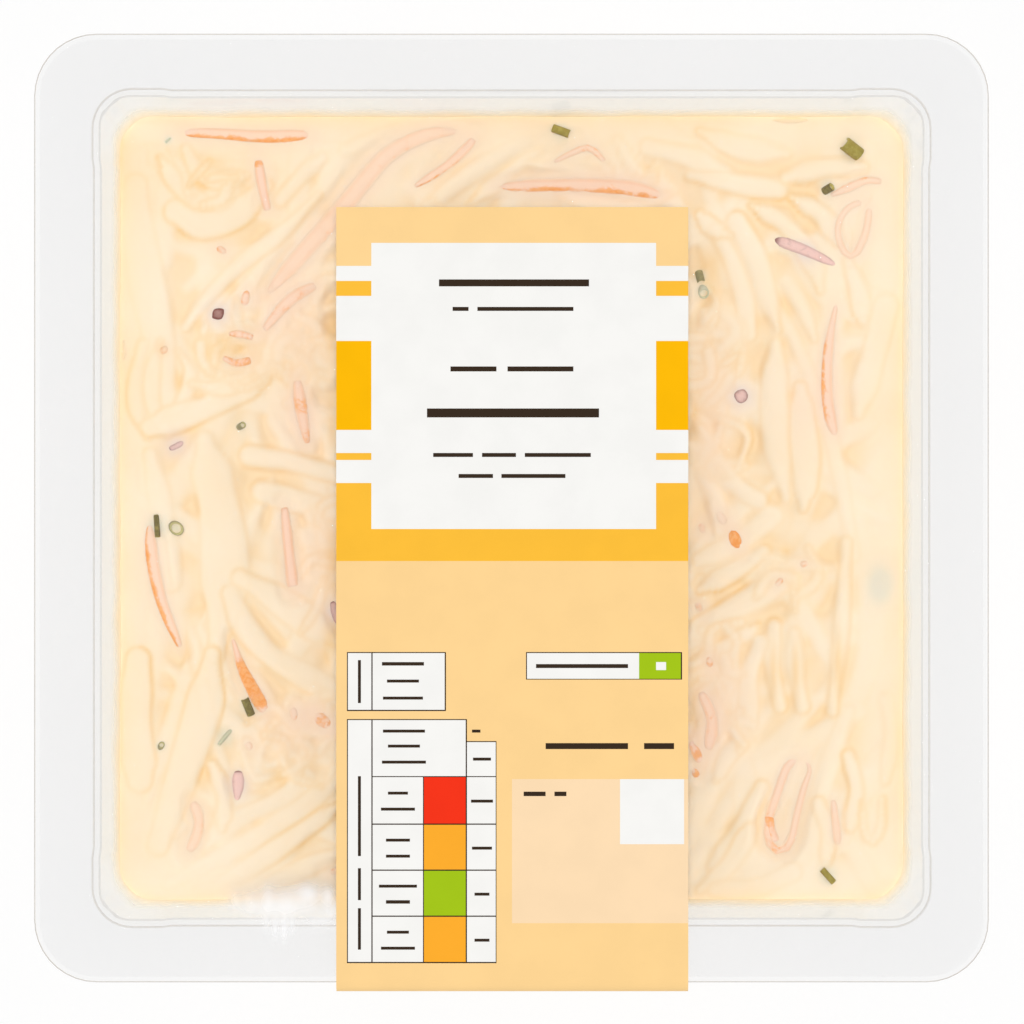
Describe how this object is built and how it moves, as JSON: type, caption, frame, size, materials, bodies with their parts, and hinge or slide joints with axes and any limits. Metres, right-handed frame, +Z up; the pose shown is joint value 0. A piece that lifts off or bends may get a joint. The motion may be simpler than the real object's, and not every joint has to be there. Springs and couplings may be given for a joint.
{
  "type": "coleslaw in a sealed tray",
  "caption": "Creamy shredded coleslaw in a clear square tray, sealed with film and wrapped by a plain printed label.",
  "frame": {"origin": "on the underside of the label, below the middle of the tray", "axes": "+Z up out of the film, +X to the pack's right, -Y to the front edge that the label wraps over"},
  "size_m": [0.127, 0.1274, 0.0437],
  "materials": {
    "tray": "clear, slightly milky thermoformed plastic",
    "film": "clear glossy film",
    "slaw": "smooth creamy dressing over pale cabbage",
    "carrot": "dressed carrot, satin",
    "chive": "moist green herb",
    "onion": "moist red onion",
    "label": "smooth coated paper with flat print"
  },
  "bodies": {
    "root": {"tray": "tray", "film": "film", "slaw": "slaw", "label": "label"}
  },
  "joints": []
}
